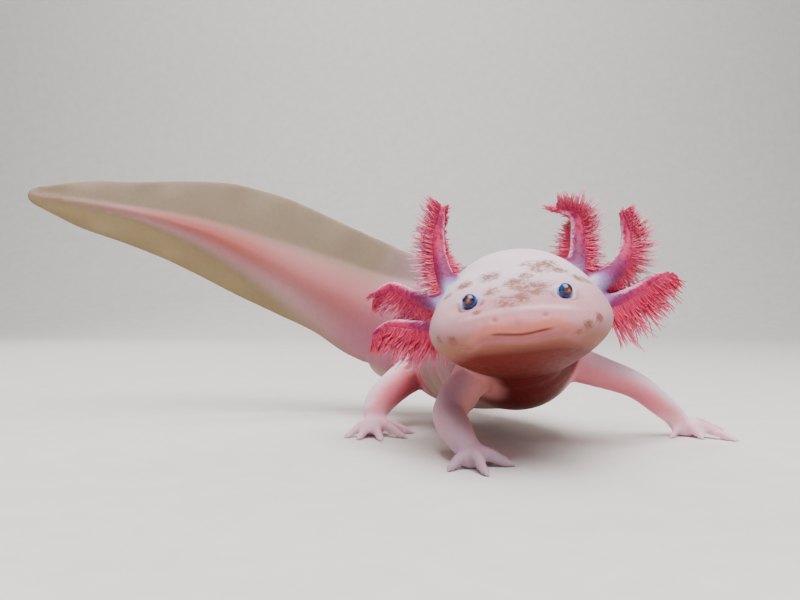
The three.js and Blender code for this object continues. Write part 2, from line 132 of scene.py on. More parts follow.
HEAD_CENTRE = np.array([30.3, -46, 37.2])
HEAD_TURN = np.array(
    Matrix.Rotation(math.radians(-8), 3, "Z")
    @ Matrix.Rotation(math.radians(-1), 3, "X")
    @ Matrix.Rotation(math.radians(-6.5), 3, "Y")
)
SNOUT_REACH = 22
NAPE_REACH = 27
HEAD_HALF_WIDTH = 23
NAPE_HALF_WIDTH = 17.5
HEAD_ROUNDNESS = 2.15
HEAD_PROFILE = [
    (17.6, -1, -17), (18.7, -1, -17.4), (17.4, -1, -16.8), (14.2, -1.5, -15.6),
    (10.4, -2, -14), (7, -2.5, -12.2), (4.4, -3, -10), (2.6, -3.2, -7.8),
]
NOSTRIL_ASIDE, NOSTRIL_UP = 5.9, -0.4
NOSTRIL_STRETCH = 1.25
EYE_RADIUS = 1.9
EYE_FORWARD = 10
EYE_ASIDE = 11.4
EYE_SINK = 0.1
EYE_SIDES = {"eye_right": -1, "eye_left": 1}


def head_point(forward, left, up):
    """Points given forward, to the animal's left and up from the head's middle."""
    return np.stack([left, -forward, up], -1) @ HEAD_TURN.T + HEAD_CENTRE


def head_axes(points, middle=HEAD_CENTRE):
    """Forward, left and up of points, in the head's directions from its middle or another place."""
    left, back, up = ((points - middle) @ HEAD_TURN).T
    return -back, left, up


def head_half_width(forward):
    """Widest at the head's middle, narrowing to the nape and rounding off at the snout."""
    back = HEAD_HALF_WIDTH - (HEAD_HALF_WIDTH - NAPE_HALF_WIDTH) * (forward / NAPE_REACH) ** 2
    share = np.clip(forward / SNOUT_REACH, 0, 1)
    return np.where(forward < 0, back, HEAD_HALF_WIDTH * (1 - share**2.5) ** 0.47)


def rounded_part(value):
    """A sine or cosine that draws a squarish round instead of a circle."""
    return np.sign(value) * np.abs(value) ** (2 / HEAD_ROUNDNESS)


def head_surface(forward, angle):
    """Forward, left and up of the head's surface, at an angle round its middle line."""
    top, middle, bottom = between(
        HEAD_PROFILE, (forward + NAPE_REACH) / (NAPE_REACH + SNOUT_REACH)
    ).T
    reach = np.where(np.sin(angle) > 0, top - middle, middle - bottom)
    left = head_half_width(forward) * rounded_part(np.cos(angle))
    blunt = np.sqrt(np.maximum(0, 1 - np.maximum(0, forward / SNOUT_REACH) ** 7))
    return forward, left, middle + reach * blunt * rounded_part(np.sin(angle))


def head_place(share, angle):
    """The head's surface from nape to snout, its rings closer together at both ends."""
    even = 0.5 - 0.5 * np.cos(math.pi * share)
    eased = 0.35 * share + 0.65 * even
    forward, left, up = head_surface(-NAPE_REACH + (NAPE_REACH + SNOUT_REACH) * eased, angle)
    cap = domed(share, 0.12, 1e-6)  # the snout needs no dome: its width runs out by itself
    return head_point(forward, left * cap, up * cap)


def eye_place(side):
    """An eye's middle on the left side, 1, or the right side, -1, sunk a little into the head."""
    angle = 1.02 * math.acos(EYE_ASIDE / float(head_half_width(np.array(EYE_FORWARD))))
    forward, left, up = head_surface(np.array([float(EYE_FORWARD)]), np.array([angle]))
    inward, aside, down = EYE_SINK * np.array([0.45, 0.4, 0.8])
    return head_point(forward - inward, side * (left - aside), up - down)[0]


# ---- Neck, trunk and tail ----

# x, y, z of the middle; half width; flesh above and below; reach with the fins above and below;
# half thickness of the fin; how sharply the flesh thins into the fin.
SPINE = [
    (32.5, -34, 31, 13, 11, 11, 11, 11, 0, 0.5),
    (33.6, -23, 29.5, 17.5, 15.5, 16, 15.5, 16, 0, 0.5),
    (34.6, -12, 28.2, 19.6, 18.2, 19.4, 18.2, 19.4, 0, 0.5),
    (32.6, 0, 26.2, 21.8, 21.4, 18.8, 22.2, 18.8, 0.8, 0.46),
    (25.6, 13.5, 26, 22.4, 22.8, 20.2, 25.4, 20.2, 1.2, 0.44),
    (18.4, 25, 27.6, 20.8, 21, 20.4, 26.2, 20.4, 1.4, 0.46),
    (8.6, 32.8, 30.2, 17.2, 18, 18.6, 25.8, 18.6, 1.5, 0.54),
    (0, 37, 33.2, 14, 14.4, 17, 25, 18, 1.4, 0.64),
    (-11.6, 38, 36.4, 11, 13, 14, 26, 16.6, 1.3, 0.74),
    (-24.6, 38.2, 42.6, 8.6, 11.4, 10.8, 25.6, 14.4, 1.2, 0.84),
    (-38, 38, 49.6, 6.8, 9.6, 9.2, 24.9, 14.8, 1.1, 0.92),
    (-52, 36.4, 56.4, 5.2, 7.6, 7.4, 24.2, 14.8, 1, 1),
    (-66, 33.2, 63, 3.9, 5.4, 5.2, 21, 14, 0.95, 1),
    (-79.4, 29.2, 68, 2.8, 3.4, 3.4, 15.6, 12.6, 0.9, 1),
    (-92.6, 24.6, 71.4, 1.9, 2, 2, 10.6, 10.8, 0.85, 1),
    (-106, 18.4, 73.6, 1.3, 1.5, 1.5, 7.6, 8.2, 0.8, 1),
    (-121.2, 9.8, 75.4, 0.8, 0.9, 0.9, 2, 1.8, 0.6, 1),
]
FIN_SWELL = 1.5  # half thickness that the fins have while the surface is made
SHARP_EDGE, BLUNT_EDGE = 4, 16  # powers that shape a fin's edge, as it is and swollen
VENT_CENTRE = np.array([-2.6, 33.4, 21.4])
VENT_SIZE = np.array([18, 15, 16.4])


def body_half(share, height, swollen):
    """Half thickness at a height from the spine, the fins as they are or swollen and blunt."""
    station = between(SPINE, share)
    half_width, flesh_up, flesh_down, reach_up, reach_down, fin, sharpness = station[:, 3:].T
    upper = height > 0
    reach = np.where(upper, reach_up, reach_down)
    flesh = np.minimum(np.where(upper, flesh_up, flesh_down), reach)
    if swollen:
        fin = fin + np.maximum(FIN_SWELL - fin, 0) * smooth(share, 0.16, 0.24)
    soft = smooth(share, 0.4, 0.6)
    sharpness = sharpness * (1 + 1.1 * soft)
    flesh = flesh * (1 + 0.35 * soft)
    meat = half_width * np.maximum(0, 1 - (height / flesh) ** 2) ** sharpness
    edge = BLUNT_EDGE if swollen else SHARP_EDGE
    blade = fin * np.sqrt(np.maximum(0, 1 - (height / reach) ** edge))
    return np.hypot(meat, blade)


def body_place(share, angle):
    """The body's surface, its fins swollen so that they come out whole in the skin's making."""
    reach_up, reach_down = between(SPINE, share)[:, 6:8].T
    middle, _, side, rise = line_axes(SPINE, share)
    height = np.where(np.sin(angle) > 0, reach_up, reach_down) * np.sin(angle)
    cap = domed(share, 0.03, 0.014)
    half = np.sign(np.cos(angle)) * body_half(share, height, swollen=True) * cap
    return middle + rise * (height * cap)[:, None] + side * half[:, None]


def ball_place(share, angle):
    ring = np.sin(math.pi * share)
    return np.stack([ring * np.cos(angle), ring * np.sin(angle), np.cos(math.pi * share)], -1)


def vent_place(share, angle):
    """The swelling round the vent, under the hips."""
    return VENT_CENTRE + ball_place(share, angle) * VENT_SIZE / 2


# ---- Limbs ----

# Joints as (x, y, z, radius); the palm's middle and each tip as (x, y); turn is its heading; fade
# is the share of the limb over which the trunk's colour runs out; pale is the lit side, which takes
# a painted highlight, and the flush value how red and dark the other side is painted: its own flush
# with painted shade.
LIMBS = {
    "foreleg_right": {
        "joints": [(26, -16, 25, 6.4), (19.5, -25, 18.5, 5.6), (13.6, -34.4, 11.6, 4.7),
                   (14.2, -42.4, 8, 4.4), (17, -51.4, 4.4, 3.3)],
        "palm": (17.6, -52.6), "turn": -1.35,
        "fade": 0.2, "pale": (-0.5, -0.2, 0.8), "flush_and_shade": 0.35,
        "tips": [(10.9, -58.4), (20.6, -64), (29, -52.4), (28.4, -44.6)],
    },
    "foreleg_left": {
        "joints": [(44, -13, 25, 6.4), (56.5, -16.4, 20.9, 4.8), (68.6, -14, 16.5, 4),
                   (77, -10.2, 11, 3.7), (85.4, -6.2, 4.3, 3.4)],
        "palm": (86.8, -6.4), "turn": -0.3, "fade": 0.16, "pale": (0.1, -0.1, 1), "flush_and_shade": 0.45,
        "tips": [(80.2, -12), (89.8, -14.4), (99, -17.8), (102.4, 2.4)],
    },
    "hindleg_right": {
        "joints": [(14, 27, 25, 7.2), (8.4, 20.4, 19.4, 6.3), (0.2, 11.8, 14.6, 5.4),
                   (-6, 3.5, 9.6, 4.7), (-8.8, -4, 4.6, 3.4)],
        "palm": (-8.4, -5), "turn": -1.5, "fade": 0.42, "pale": (-0.7, 0.5, 0.6), "flush_and_shade": 0.8,
        "tips": [(-17, -11.6), (-12.6, -15.4), (-5.4, -17.2), (2.6, -12.4), (5, -3)],
    },
    "hindleg_left": {
        "joints": [(20, 34, 25, 7.2), (27, 45, 21, 6.2), (33, 54.6, 16.4, 5.2),
                   (36.4, 59.8, 10.4, 4.2), (39.2, 62.9, 4.4, 3.3)],
        "palm": (39.6, 63.2), "turn": 0.35, "fade": 0.42, "pale": (0.7, 0.5, 0.6), "flush_and_shade": 0.8,
        "tips": [(43, 52.6), (51, 56.6), (54, 63.4), (49.4, 71.4), (39.6, 73.6)],
    },
}
# a finger's shares from palm to tip, with its middle's height and its radius there
FINGER = [(-0.1, 4.5, 1.75), (0.3, 3.6, 1.6625), (0.68, 1.9, 1.26), (1, 0.6, 0.8)]
PALM_HEIGHT = 2.3


def tube_place(rows, flatness=1.0, last=0.1):
    """A placing function for a fleshy tube through rows of (x, y, z, radius)."""
    def place(share, angle):
        radius = between(rows, share)[:, 3] * domed(share, 0.1, last)
        middle, _, side, rise = line_axes(rows, share)
        aside = (radius * np.cos(angle))[:, None]
        return middle + side * aside + rise * (radius * flatness * np.sin(angle))[:, None]
    return place


def digit_rows(palm, tip):
    palm, tip = np.array(palm, float), np.array(tip, float)
    return [(*(palm + (tip - palm) * share), height, radius) for share, height, radius in FINGER]


def palm_place(palm, turn, digits):
    """A placing function for a flat palm, wider where it carries five toes."""
    size = np.array([3.7, 3.7 if digits > 4 else 3.3, 2.2])
    turned = np.array(Matrix.Rotation(turn, 3, "Z"))

    def place(share, angle):
        return (ball_place(share, angle) * size) @ turned.T + np.array([*palm, PALM_HEIGHT])
    return place


# ---- Gills ----

# Each stalk's points (x, y, z, radius), the way its threads lean at its root and at its tip, the
# side of its pale edge, how far the two rows of threads stand apart, the threads' length, their
# length at the stalk's root and at its tip as shares of that, and how soon they pale to pink: lower
# on the stalks that hang in the head's shade, whose threads stay deeper red as painted shade.
GILLS = {
    "gill_left_1": {
        "stalk": [(45.5, -36, 45.4, 3), (48.2, -31, 50.4, 2.7), (49.6, -27, 58, 2.1),
                  (49, -24.8, 65.2, 1.8), (43.4, -26, 66.8, 1)],
        "lean": ((0.25, 0.92, 0.1), (0.3, 0.4, 0.85)), "edge": (-1, -0.4, 0), "spread": 1.5,
        "length": 8.5, "root": 0.5, "tip": 0.5, "paling_and_shade": 1.4,
    },
    "gill_left_2": {
        "stalk": [(50.6, -35, 45.2, 2.9), (57.2, -29.4, 47.6, 2.8), (62.8, -24, 52.6, 2.3),
                  (65.4, -20, 59, 1.9), (63.6, -20, 66.4, 0.9)],
        "lean": ((0.45, 0.9, 0.1), (0.9, 0.4, 0.3)), "edge": (-0.9, -0.3, 0.2), "spread": 0.6,
        "length": 10.5, "root": 0.5, "tip": 0.35, "paling_and_shade": 1.25,
    },
    "gill_left_3": {
        "stalk": [(51.8, -38, 39.4, 2.8), (58, -31, 40.4, 2.6), (65.6, -24.6, 43.2, 2.1),
                  (72.4, -19.4, 46.8, 1.7), (79.4, -15, 49.4, 0.9)],
        "lean": ((0, 0.1, -0.95), (0.1, 0.1, -0.95)), "edge": (0, -0.2, 1), "spread": 0.5,
        "length": 12.5, "root": 0.95, "tip": 0.4, "paling_and_shade": 0.7,
    },
    "gill_right_1": {
        "stalk": [(14.4, -36, 42.4, 3), (12.8, -30, 46.4, 2.6), (11.2, -25, 53, 2.1),
                  (10.8, -22, 60, 1.9), (12.3, -21, 68.4, 1)],
        "lean": ((-0.2, 0.9, 0.1), (-0.5, 0.7, 0.3)), "edge": (1, -0.3, 0), "spread": 1.5,
        "length": 8, "root": 0.5, "tip": 0.65, "paling_and_shade": 1.5,
    },
    "gill_right_2": {
        "stalk": [(13, -37, 39, 3), (8.4, -30, 40.4, 2.5), (3.4, -25, 42.4, 2.1),
                  (-2.4, -21.4, 44.6, 1.9), (-8, -20.4, 42, 1.1)],
        "lean": ((-0.3, 0.9, -0.35), (-0.5, 0.5, -0.7)), "edge": (0.1, -0.3, 1), "spread": 0.6,
        "length": 9, "root": 0.5, "tip": 0.5, "paling_and_shade": 1,
    },
    "gill_right_3": {
        "stalk": [(13, -39, 34, 2.8), (8.4, -32, 33.4, 2.4), (3.4, -28, 33.6, 2.1),
                  (-2.4, -25, 33.8, 1.9), (-7.8, -24, 31.2, 1.1)],
        "lean": ((0, 0.2, -0.95), (-0.25, 0.2, -0.9)), "edge": (0, -0.2, 1), "spread": 0.5,
        "length": 11.5, "root": 0.9, "tip": 0.4, "paling_and_shade": 0.7,
    },
}
THREAD_START = 0.08  # share of the stalk's length where the threads start
TIP_LEAN = 0.35  # how far the last threads lean along the stalk
WEB_REACH = 2.6  # how far the fleshy web stands out from the stalk's middle, in stalk radii


def gill_axes(gill, share):
    """A stalk's middle and direction, the way its threads face, and the way across them."""
    middle, along, _, _ = line_axes(gill["stalk"], share)
    first, last = np.array(gill["lean"], float)
    lean = first + (last - first) * smooth(share, 0.35, 0.8)[:, None]
    facing = unit(lean - along * ((along * lean).sum(1) * 0.8)[:, None])
    return middle, along, facing, unit(np.cross(along, facing))


def web_place(gill):
    """A placing function for the thin web of flesh that the threads stand on."""
    def place(share, angle):
        middle, _, facing, across = gill_axes(gill, share)
        radius = between(gill["stalk"], share)[:, 3] * domed(share, 0.35, 0.1)
        out = (radius * 0.5 * (WEB_REACH - 0.6 + (WEB_REACH + 0.6) * np.cos(angle)))[:, None]
        return middle + facing * out + across * (0.42 * radius * np.sin(angle))[:, None]
    return place


# ---- The shared frame ----


def frame_shift():
    """What carries the tables' millimetres into the shared frame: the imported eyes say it."""
    gaps = []
    for node, side in EYE_SIDES.items():
        low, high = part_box(node)
        gaps.append(np.array((low + high) / 2) / MM - eye_place(side))
    return np.mean(gaps, 0)


SHIFT = frame_shift()
SHIFT[2] = 0


def row_frame(points):
    return (np.asarray(points) + SHIFT) * MM


def own_frame(points):
    return np.asarray(points) / MM - SHIFT


# ---- Meshes as arrays ----


def read(collection, name, width, kind=float):
    """One property of all that a mesh's collection holds, as rows."""
    values = np.empty(len(collection) * width, kind)
    collection.foreach_get(name, values)
    return values.reshape(-1, width)


def points_of(mesh):
    """A mesh's points in the animal's own frame."""
    return own_frame(read(mesh.vertices, "co", 3))


def set_points(mesh, points):
    """Moves a mesh's points to places in the animal's own frame."""
    mesh.vertices.foreach_set("co", row_frame(points).astype(np.float32).ravel())
    mesh.update()


def normals_of(mesh):
    return read(mesh.vertex_normals, "vector", 3)


def edges_of(mesh):
    return read(mesh.edges, "vertices", 2, int)


def neighbour_mean(values, pairs):
    """The mean of each point's neighbours along the edges."""
    count = len(values)
    ends = np.concatenate([pairs[:, 0], pairs[:, 1]])
    others = np.concatenate([pairs[:, 1], pairs[:, 0]])
    total = np.stack([np.bincount(ends, row, count) for row in values[others].T], -1)
    return total / np.maximum(np.bincount(ends, minlength=count), 1)[:, None]


def relaxed(points, pairs, rounds, weight, keep_size=True):
    """Points drawn towards their neighbours, and pushed back after each round to keep size."""
    weight = np.reshape(weight, (-1, 1))
    for _ in range(rounds):
        points = points + PULL * weight * (neighbour_mean(points, pairs) - points)
        if keep_size:
            points = points - PUSH * weight * (neighbour_mean(points, pairs) - points)
    return points


def nearest(points, middles, batch=20000):
    """Index of each point's nearest middle, and how far away it is, a batch at a time."""
    found = np.empty(len(points), int)
    gaps = np.empty(len(points))
    squared = (middles**2).sum(1)
    for start in range(0, len(points), batch):
        own = slice(start, start + batch)
        reach = (points[own] ** 2).sum(1)[:, None] - 2 * points[own] @ middles.T + squared
        found[own] = reach.argmin(1)
        gaps[own] = np.sqrt(np.maximum(reach.min(1), 0))
    return found, gaps


def on_line(points, rows, samples=240):
    """Share along a line of rows, distance from it, and offsets to its side and its rise."""
    shares = np.linspace(0, 1, samples)
    middle, along, side, rise = line_axes(rows, shares)
    index, gap = nearest(points, middle)
    offset = points - middle[index]
    step = (offset * along[index]).sum(1)
    length = np.linalg.norm(np.diff(middle, axis=0), axis=1).sum()
    share = np.clip(shares[index] + step / length, 0, 1)
    return share, gap, (offset * side[index]).sum(1), (offset * rise[index]).sum(1)


def on_spine(points, samples=240):
    """on_line along the spine, and how far flesh and fin reach on each point's side of it."""
    share, gap, aside, height = on_line(points, SPINE, samples)
    flesh_up, flesh_down, reach_up, reach_down = between(SPINE, share)[:, 4:8].T
    flesh = np.where(height > 0, flesh_up, flesh_down)
    return share, gap, aside, height, flesh, np.where(height > 0, reach_up, reach_down)


# ---- The skin's mesh ----

VOXEL = 0.84
PULL, PUSH = 0.5, 0.52  # how far a round of relaxing draws points in, and pushes them back
MOST_SETTLING = 2.4  # points further than this from a fin's exact surface stay where they are
FARTHEST = 26.0  # further out than any fin's surface
BLADE_ASIDE = 3.2  # what lies further to the side than this is flesh, and isn't thinned
HAND_REACH = 17  # how far fingers and toes go from the palm's middle
FINE_FLAT = 6  # height under which a hand or a foot has fine faces


def flesh_forms():
    """Every fleshy form as a closed mesh in the shared frame."""
    forms = [wrapped(96, 260, body_place), wrapped(96, 72, head_place)]
    forms.append(wrapped(32, 24, vent_place))
    for limb in LIMBS.values():
        palm = limb["palm"]
        forms.append(wrapped(28, 60, tube_place(limb["joints"], 1, 0.06)))
        forms.append(wrapped(28, 16, palm_place(palm, limb["turn"], len(limb["tips"]))))
        for tip in limb["tips"]:
            forms.append(wrapped(16, 24, tube_place(digit_rows(palm, tip), 0.9, 0.2)))
    for gill in GILLS.values():
        forms.append(wrapped(20, 50, tube_place(gill["stalk"], 1, 0.12)))
        forms.append(wrapped(24, 50, web_place(gill)))
    for form in forms:
        set_points(form, read(form.vertices, "co", 3))
    return forms


def joined(forms):
    whole = bmesh.new()
    for form in forms:
        whole.from_mesh(form)
        bpy.data.meshes.remove(form)
    return mesh_from(whole, "skin")


def placed(name, data):
    """A new object in the scene, at the origin."""
    thing = bpy.data.objects.new(name, data)
    bpy.context.scene.collection.objects.link(thing)
    return thing


def remeshed(mesh, voxel):
    """One closed surface round all that the mesh encloses."""
    thing = placed("remesh", mesh)
    remesh = thing.modifiers.new("remesh", "REMESH")
    remesh.mode = "VOXEL"
    remesh.voxel_size = voxel * MM
    ready = thing.evaluated_get(bpy.context.evaluated_depsgraph_get())
    made = bpy.data.meshes.new_from_object(ready)
    bpy.data.objects.remove(thing)
    bpy.data.meshes.remove(mesh)
    return made


def finer_where(mesh, chosen):
    """Splits every edge whose two ends are chosen."""
    form = bmesh.new()
    form.from_mesh(mesh)
    form.verts.ensure_lookup_table()
    edges = [e for e in form.edges if chosen[e.verts[0].index] and chosen[e.verts[1].index]]
    bmesh.ops.subdivide_edges(form, edges=edges, cuts=1, use_grid_fill=True)
    form.to_mesh(mesh)
    form.free()


def settled_fins(points):
    """The tail and the back's fin set on their exact surface, and thinned from their swelling."""
    share, _, aside, height, _, reach = on_spine(points, 700)
    before_tip = fade(share, 0.95, 0.98)
    tail = smooth(share, 0.47, 0.53)
    back = smooth(share, 0.2, 0.25) * smooth(height / reach, 0.6, 0.8)
    weight = np.maximum(tail, back) * before_tip
    core = np.clip(height, -0.8 * reach, 0.8 * reach)
    away = unit(np.stack([height - core, aside + 1e-9], -1))
    inner, outer = np.zeros(len(points)), np.full(len(points), FARTHEST)
    for _ in range(16):  # halves the gap between a place inside the surface and one outside
        trial = (inner + outer) / 2
        beyond = np.abs(away[:, 1]) * trial > body_half(share, core + away[:, 0] * trial, True)
        outer, inner = np.where(beyond, trial, outer), np.where(beyond, inner, trial)
    rising, widening = core + away[:, 0] * outer - height, away[:, 1] * outer - aside
    weight *= np.hypot(rising, widening) < MOST_SETTLING
    set_height, set_aside = height + weight * rising, aside + weight * widening
    thick = body_half(share, set_height, swollen=True)
    thin = body_half(share, set_height, swollen=False)
    near = np.abs(set_aside) < BLADE_ASIDE
    thinned = np.where(near, set_aside * (thin + 1e-4) / (thick + 1e-4), set_aside)
    _, _, side, rise = line_axes(SPINE, share)
    return points + side * (thinned - aside)[:, None] + rise * (set_height - height)[:, None]


def on_head(points):
    """How far points belong to the head's front, clear of the neck and the gills."""
    forward, left, up = head_axes(points)
    inside = (np.abs(left) < 25) & (up > -19) & (up < 19)
    return smooth(forward, -9, -3) * inside


def mouth_edge(left):
    """Height of the upper lip's edge: a slight smile in front, hanging at the sides."""
    aside = np.abs(left)
    hanging = smooth(aside, 8.2, 13) * fade(aside, 13, 22)
    return -4.1 + 0.6 * smooth(aside + 0.6 * (left < 0), 0, 7.5) - 1.9 * hanging


def snout_rim(left):
    """Height of the edge between the snout's front and its top."""
    return np.maximum(1.7 - 0.008 * left**2, -1.2)


def lips(points, out):
    """The mouth's line with its lips, and the ridge over the snout."""
    forward, left, up = head_axes(points)
    aside = np.abs(left)
    above = up - mouth_edge(left)
    front = on_head(points) * smooth(forward, 1, 6)
    middle = fade(aside, 7.5, 11)
    fading = fade(aside, 13, 20)
    rise = 0.35 * hump(above, 1.7, 1.4) * (0.3 + 0.7 * fading)
    rise -= (0.5 - 0.4 * smooth(aside, 5.5, 8.5)) * hump(above, -0.1, 0.42) * (0.4 + 0.6 * fading)
    rise -= 0.25 * smooth(-above, 0, 1.2) * fade(-above, 2.5, 7) * fading
    rise += middle * (0.42 * hump(above, -1.6, 0.9) - 0.38 * hump(above, -3.6, 0.9))
    rim = up - snout_rim(left)
    ridge = smooth(forward, 8, 13) * fade(aside, 9, 17)
    rise += (0.18 * hump(rim, 0, 0.8) - 0.2 * hump(rim, 1.6, 0.9)) * ridge
    return points + out * (rise * front)[:, None]


def nostril_gap(left, up):
    """Distance from the middle of the nearer nostril, which is an oval."""
    return np.hypot((np.abs(left) - NOSTRIL_ASIDE) / NOSTRIL_STRETCH, up - NOSTRIL_UP)


def nostrils(points, out):
    """A pit with a faint rim for each nostril."""
    forward, left, up = head_axes(points)
    gap = nostril_gap(left, up)
    rise = 0.1 * hump(gap, 1.0, 0.45) - 0.45 * hump(gap, 0, 0.42)
    return points + out * (rise * smooth(forward, 14, 17))[:, None]


def eye_settings(points, out):
    """A rim behind each eye, a slope before it that leaves it free, and a lid's fold below it."""
    for side in EYE_SIDES.values():
        middle = eye_place(side)
        forward, left, up = head_axes(points, middle)
        gap = distance(points, middle)
        before = smooth(forward * 0.8 + side * left * 0.3 - up * 0.3, -0.9, 1.8)
        rise = -1.5 * before * fade(gap, 2.2, 6.5) + 0.3 * (1 - before) * hump(gap, 2.4, 1.1)
        rise += before * (0.28 * hump(gap, 2.7, 0.45) - 0.38 * hump(gap, 3.5, 0.4))
        points = points + out * rise[:, None]
        gap = distance(points, middle)
        hollow = fade(gap, EYE_RADIUS - 0.1, EYE_RADIUS + 0.3)
        points = points - out * (1.5 * hollow)[:, None]
    return points


def bands(value, width):
    """A wave that is 1 at each band's edge and 0 in its middle."""
    return np.abs(value / width % 1 - 0.5) * 2


def folds(points, out):
    """The throat's fold, the furrows of the flanks and the tail's faint bands of muscle."""
    forward, left, up = head_axes(points)
    throat = (np.abs(left) < 21) * smooth(-up, 2, 8) * (up > -24)
    rise = throat * (0.2 * hump(forward, -14, 2.6) - 0.5 * hump(forward, -17.5, 1.9))
    share, gap, aside, height = on_line(points, SPINE)
    station = between(SPINE, share)
    flank = smooth(np.abs(aside), 0.35 * station[:, 3], 0.7 * station[:, 3])
    flank *= gap < station[:, 3] * 1.12
    trunk = smooth(share, 0.1, 0.14) * fade(share, 0.34, 0.4)
    rise -= 0.55 * flank * trunk * hump(bands(share - 0.11, 0.0215), 1, 0.28)
    wrinkle = np.sin(share * 1400 + 5 * np.sin(height * 0.4))
    rise += 0.07 * flank * smooth(-height, -4, 2) * trunk * wrinkle
    chevron = bands(share - 0.0009 * np.abs(height), 0.0175)
    tail = smooth(share, 0.38, 0.46) * fade(share, 0.75, 0.9)
    rise -= 0.05 * tail * (np.abs(height) < station[:, 4]) * hump(chevron, 1, 0.3)
    return points + out * rise[:, None]


def ruffled_fins(points):
    """The fins' edges swinging a little from side to side."""
    share, _, aside, height, _, reach = on_spine(points)
    outer = smooth(np.abs(height) / reach, 0.55, 1) * fade(np.abs(aside), 2, 4)
    outer *= smooth(share, 0.26, 0.34)
    turns = np.sin(share * 62 + np.sign(height)) + 0.6 * np.sin(share * 113 + 2)
    side = line_axes(SPINE, share)[2]
    return points + side * (0.4 * outer * turns)[:, None]


def near_back_fin(points):
    """How much each point lies on the edge of the back's fin, ahead of the tail."""
    share, _, aside, height, _, reach = on_spine(points)
    crest = smooth(height / reach, 0.8, 0.92) * (np.abs(aside) < 4)
    return crest * smooth(share, 0.14, 0.18) * fade(share, 0.44, 0.5)


def near_hands(points):
    """Which points belong to a hand or a foot."""
    gaps = [distance(points[:, :2], limb["palm"]) for limb in LIMBS.values()]
    return (np.min(gaps, 0) < HAND_REACH) & (points[:, 2] < FINE_FLAT)


def near_wrists(points):
    """How much each point lies on a wrist or an ankle, where limb and hand flow together."""
    wrists = [between(limb["joints"], 0.93)[:3] for limb in LIMBS.values()]
    return np.max([fade(distance(points, wrist), 3.5, 7.5) for wrist in wrists], 0)


def near_details(points):
    """1 on the head's front, hands and feet, and a little everywhere else."""
    return 0.9 * np.maximum(on_head(points), near_hands(points)) + 0.1


def near_mouth(points, reach=2):
    """How much each point lies within a reach of the mouth's line."""
    _, left, up = head_axes(points)
    return on_head(points) * (np.abs(up - mouth_edge(left)) < reach)


def bare_skin():
    """The closed skin over all forms, its joins softened and its fins set and thinned."""
    mesh = remeshed(joined(flesh_forms()), VOXEL)
    pairs = edges_of(mesh)
    points = relaxed(points_of(mesh), pairs, 12, 1.0)
    points = relaxed(points, pairs, 14, near_wrists(points), keep_size=False)
    points = settled_fins(points)
    points = relaxed(points, pairs, 5, near_back_fin(points), keep_size=False)
    set_points(mesh, points)
    return mesh, points


def refined(mesh, chosen, rounds, weight):
    """Makes a mesh finer where points are chosen, and relaxes it by weight(points)."""
    finer_where(mesh, chosen)
    points = points_of(mesh)
    points = relaxed(points, edges_of(mesh), rounds, weight(points))
    set_points(mesh, points)
    return points


def made_skin():
    """The whole skin as one mesh, finer where details are, with its fine forms pressed in."""
    mesh, points = bare_skin()
    forward, _, up = head_axes(points)
    face = (on_head(points) > 0.5) & (forward > 3) & (up > -9.5)
    points = refined(mesh, face | near_hands(points), 8, near_details)
    mouth = (near_mouth(points, 1.3) > 0.5) & (head_axes(points)[0] > 3)
    points = refined(mesh, mouth, 6, near_mouth)
    points = ruffled_fins(folds(points, normals_of(mesh)))
    set_points(mesh, points)
    out = normals_of(mesh)
    points = nostrils(lips(points, out), out)
    set_points(mesh, points)
    points = eye_settings(points, normals_of(mesh))
    lowered = 0.5 * near_hands(points) * fade(points[:, 2], 1, 5)
    points[:, 2] = np.maximum(points[:, 2] - lowered, 0)
    set_points(mesh, points)
    return mesh


# ---- Colours over the body ----


def tone(red, green, blue):
    """A colour from 0 to 255 as the linear shares that shaders take."""
    share = np.array([red, green, blue]) / 255
    return np.where(share <= 0.04045, share / 12.92, ((share + 0.055) / 1.055) ** 2.4)


PALE = tone(188, 142, 150)
CROWN = tone(224, 205, 216)
SNOUT = tone(192, 120, 132)
# the lower jaw's own peach, darkened as painted shade beneath the lip
JAW_TONE_AND_SHADE = tone(138, 82, 58)
# the throat's own red, darkened as painted shade under the head and neck
THROAT_TONE_AND_SHADE = tone(92, 13, 7)
LIP = tone(208, 124, 110)
LOWER_LIP = tone(170, 98, 106)
# a limb's flesh, its lit side's painted highlight, its red underside with painted shade, its hand
LIMB_TONES = (tone(226, 136, 150), tone(241, 219, 236), tone(164, 66, 76), tone(234, 190, 208))
# the limb tones darkened as painted shade, for the right foreleg, which lies in shadow
SHADED_LIMB_TONES = (tone(222, 148, 146), tone(190, 152, 166), tone(164, 84, 80), tone(176, 148, 168))
CORE = tone(158, 84, 76)
MAUVE = tone(172, 106, 124)
LILAC = tone(168, 138, 144)
FIN = tone(142, 126, 106)
LOW_FIN = tone(134, 116, 84)
BACK = tone(172, 146, 150)
BELLY = tone(176, 152, 140)
GILL_BASE = tone(150, 116, 176)
GILL_EDGE = tone(238, 176, 210)
GILL_DARK = tone(116, 10, 60)
GILL_RED = tone(198, 36, 86)
# painted shade in the mouth's slit and the nostrils' pits
CREASE_SHADE = tone(126, 56, 50)
# painted highlight along the snout's rim
RIM_HIGHLIGHT = tone(240, 222, 228)
EYE_HALO = tone(186, 196, 232)
# painted pink shade in the fold under each eye
EYE_CREASE_SHADE = tone(180, 92, 88)
